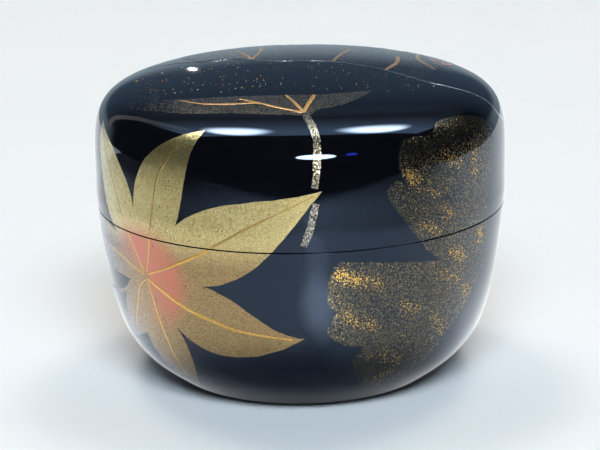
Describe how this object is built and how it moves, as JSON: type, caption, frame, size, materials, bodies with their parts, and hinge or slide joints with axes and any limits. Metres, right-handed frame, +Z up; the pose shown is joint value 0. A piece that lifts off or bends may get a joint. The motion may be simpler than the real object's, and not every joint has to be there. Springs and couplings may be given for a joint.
{
  "type": "tea caddy",
  "caption": "Flat round caddy for powdered tea, turned from wood and lacquered black with gold leaves, with a domed lid that lifts straight off its rim.",
  "frame": {"origin": "centre of the foot, on the surface that the caddy stands on", "axes": "+Z up along the axis that both pieces are turned about, -Y towards the front of the decoration, +X to the right seen from the front"},
  "size_m": [0.082, 0.082, 0.0634],
  "materials": {
    "body_lacquer": "gloss black lacquer over turned wood",
    "lid_lacquer": "gloss black lacquer over turned wood",
    "gold_powder": "sprinkled gold powder under clear lacquer",
    "silver_powder": "sprinkled silver powder under clear lacquer"
  },
  "bodies": {
    "body": {"body": "body_lacquer"},
    "lid": {"lid": "lid_lacquer"}
  },
  "joints": [
    {"name": "lid_lift", "type": "slide", "parent": "body", "child": "lid", "axis": [0, 0, 1], "range_m": [0, 0.045]}
  ]
}
